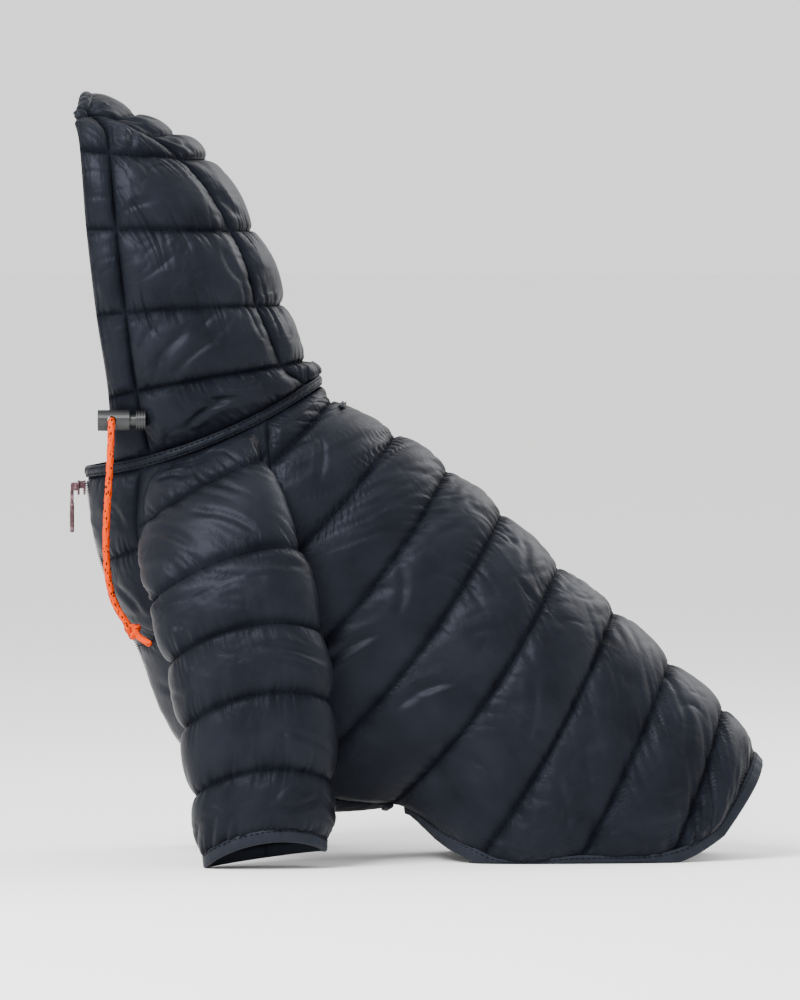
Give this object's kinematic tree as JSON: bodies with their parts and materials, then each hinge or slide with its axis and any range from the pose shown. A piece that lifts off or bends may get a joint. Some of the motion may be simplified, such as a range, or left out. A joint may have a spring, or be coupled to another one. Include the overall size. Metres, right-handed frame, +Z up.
{
  "type": "dog winter coat",
  "caption": "Hollow quilted dog coat with a peaked hood, two sleeves, a front zip and a hood drawcord, standing on its cuffs and hem.",
  "frame": {"origin": "middle of the coat's footprint on the surface that it stands on", "axes": "+X to the tail, +Z up, the coat's left side faces -Y"},
  "size_m": [0.3751, 0.2134, 0.4114],
  "materials": {
    "shell": "quilted nylon, low sheen",
    "trim": "woven binding, matte",
    "zip": "satin",
    "lock": "moulded, satin",
    "cord": "braided"
  },
  "bodies": {
    "coat": {"back_panel": "shell", "chest_panel_left": "shell", "chest_panel_right": "shell", "sleeve_left": "shell", "sleeve_right": "shell", "hood_crown": "shell", "hood_side_left": "shell", "hood_side_right": "shell", "hood_band_left": "shell", "hood_band_right": "shell", "collar_band": "trim", "hem_binding": "trim", "belly_binding_left": "trim", "belly_binding_right": "trim", "cuff_binding_left": "trim", "cuff_binding_right": "trim", "zip_tape_left": "trim", "zip_tape_right": "trim", "zip_coil": "zip", "zip_slider": "zip", "leash_slot": "trim", "cord_lock_barrel": "lock", "drawcord": "cord", "drawcord_knot": "cord"},
    "pull_tab": {"zip_pull": "zip"},
    "lock_plunger": {"cord_lock_plunger": "lock"}
  },
  "joints": [
    {"name": "pull_swing", "type": "hinge", "parent": "coat", "child": "pull_tab", "pos_m": [-0.1856, 0, 0.2001], "axis": [0, 1, 0], "range_deg": [-5, 150]},
    {"name": "plunger_press", "type": "slide", "parent": "coat", "child": "lock_plunger", "axis": [-1, 0, 0], "range_m": [0, 0.003], "stiffness_N_per_m": 200}
  ]
}
